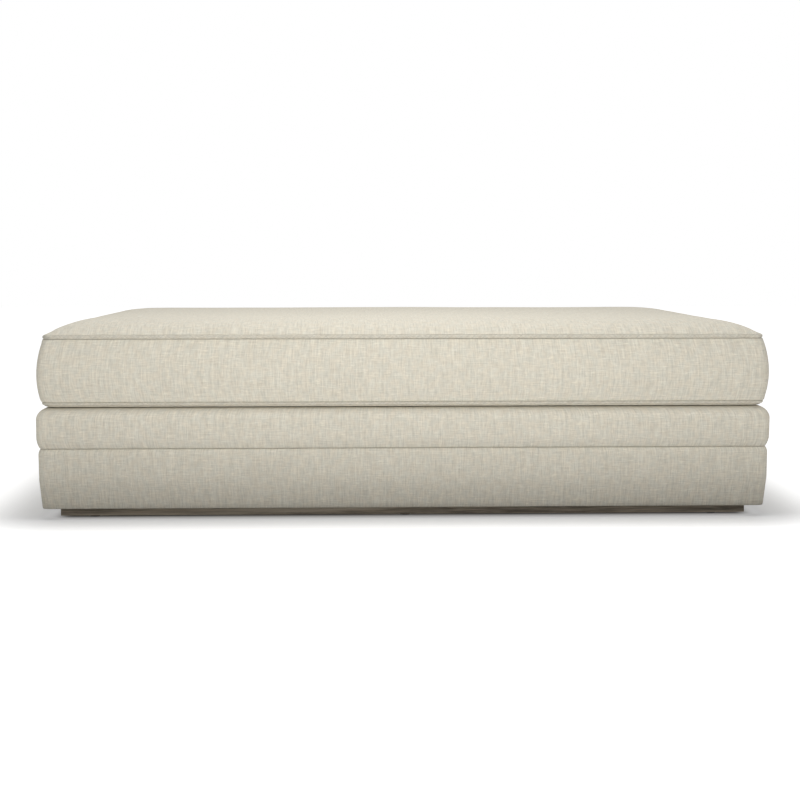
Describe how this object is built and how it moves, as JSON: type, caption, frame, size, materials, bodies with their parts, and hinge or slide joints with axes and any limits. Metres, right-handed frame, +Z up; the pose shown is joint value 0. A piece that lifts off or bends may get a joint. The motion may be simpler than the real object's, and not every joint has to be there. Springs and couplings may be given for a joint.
{
  "type": "upholstered ottoman",
  "caption": "Long rectangular upholstered ottoman with a loose piped box cushion on a covered base and a recessed wooden plinth.",
  "frame": {"origin": "centre of the footprint, on the floor", "axes": "+X along the length, +Y towards the back where the zipper is, +Z up"},
  "size_m": [1.524, 0.965, 0.412],
  "materials": {
    "linen_cover": "matt linen weave",
    "deck_cloth": "matt plain weave",
    "dust_cloth": "matt black non-woven cloth",
    "border_foam": "open foam",
    "cushion_foam": "open foam",
    "fibre": "soft polyester fibre",
    "padding_felt": "needled felt",
    "insulator_felt": "needled felt",
    "frame_wood": "planed pine",
    "side_board": "pressed board",
    "plinth_wood": "weathered brown stain, matt",
    "spring_steel": "oiled spring wire",
    "clip_steel": "zinc plated strip",
    "screw_steel": "zinc plated",
    "glide_plastic": "moulded nylon",
    "zipper_tape": "woven tape",
    "zipper_coil": "moulded coil",
    "zipper_metal": "antique nickel"
  },
  "bodies": {
    "base": {"band_cover_back": "linen_cover", "band_cover_front": "linen_cover", "band_cover_left": "linen_cover", "band_cover_right": "linen_cover", "border_foam_back": "border_foam", "border_foam_front": "border_foam", "border_foam_left": "border_foam", "border_foam_right": "border_foam", "bottom_rail_back": "frame_wood", "bottom_rail_front": "frame_wood", "bottom_rail_left": "frame_wood", "bottom_rail_right": "frame_wood", "corner_blocks": "frame_wood", "corner_posts": "frame_wood", "cross_rails": "frame_wood", "deck_cloth": "deck_cloth", "deck_pad": "border_foam", "dust_cover": "dust_cloth", "glides": "glide_plastic", "lower_cover_back": "linen_cover", "lower_cover_front": "linen_cover", "lower_cover_left": "linen_cover", "lower_cover_right": "linen_cover", "lower_padding_back": "padding_felt", "lower_padding_front": "padding_felt", "lower_padding_left": "padding_felt", "lower_padding_right": "padding_felt", "middle_posts": "frame_wood", "plinth_back": "plinth_wood", "plinth_cross_board": "frame_wood", "plinth_front": "plinth_wood", "plinth_left": "plinth_wood", "plinth_right": "plinth_wood", "plinth_screws": "screw_steel", "side_board_back": "side_board", "side_board_front": "side_board", "side_board_left": "side_board", "side_board_right": "side_board", "sinuous_springs": "spring_steel", "spring_clips": "clip_steel", "spring_insulator": "insulator_felt", "top_rail_back": "frame_wood", "top_rail_front": "frame_wood", "top_rail_left": "frame_wood", "top_rail_right": "frame_wood"},
    "cushion": {"cushion_top_panel": "linen_cover", "cushion_bottom_panel": "linen_cover", "boxing_strip": "linen_cover", "boxing_back_upper": "linen_cover", "boxing_back_lower": "linen_cover", "upper_welt": "linen_cover", "lower_welt": "linen_cover", "foam_core": "cushion_foam", "fibre_top": "fibre", "fibre_bottom": "fibre", "zipper_tapes": "zipper_tape", "zipper_coils": "zipper_coil"},
    "zip_slider": {"zip_slider": "zipper_metal"},
    "zip_pull": {"zip_pull": "zipper_metal"}
  },
  "joints": [
    {"name": "cushion_lift", "type": "slide", "parent": "base", "child": "cushion", "axis": [0, 0, 1], "range_m": [0, 0.25]},
    {"name": "zip_run", "type": "slide", "parent": "cushion", "child": "zip_slider", "axis": [-1, 0, 0], "range_m": [0, 1.37]},
    {"name": "zip_pull_turn", "type": "hinge", "parent": "zip_slider", "child": "zip_pull", "pos_m": [0.68695, 0.479, 0.30041], "axis": [0, 0, -1], "range_deg": [0, 100]}
  ]
}
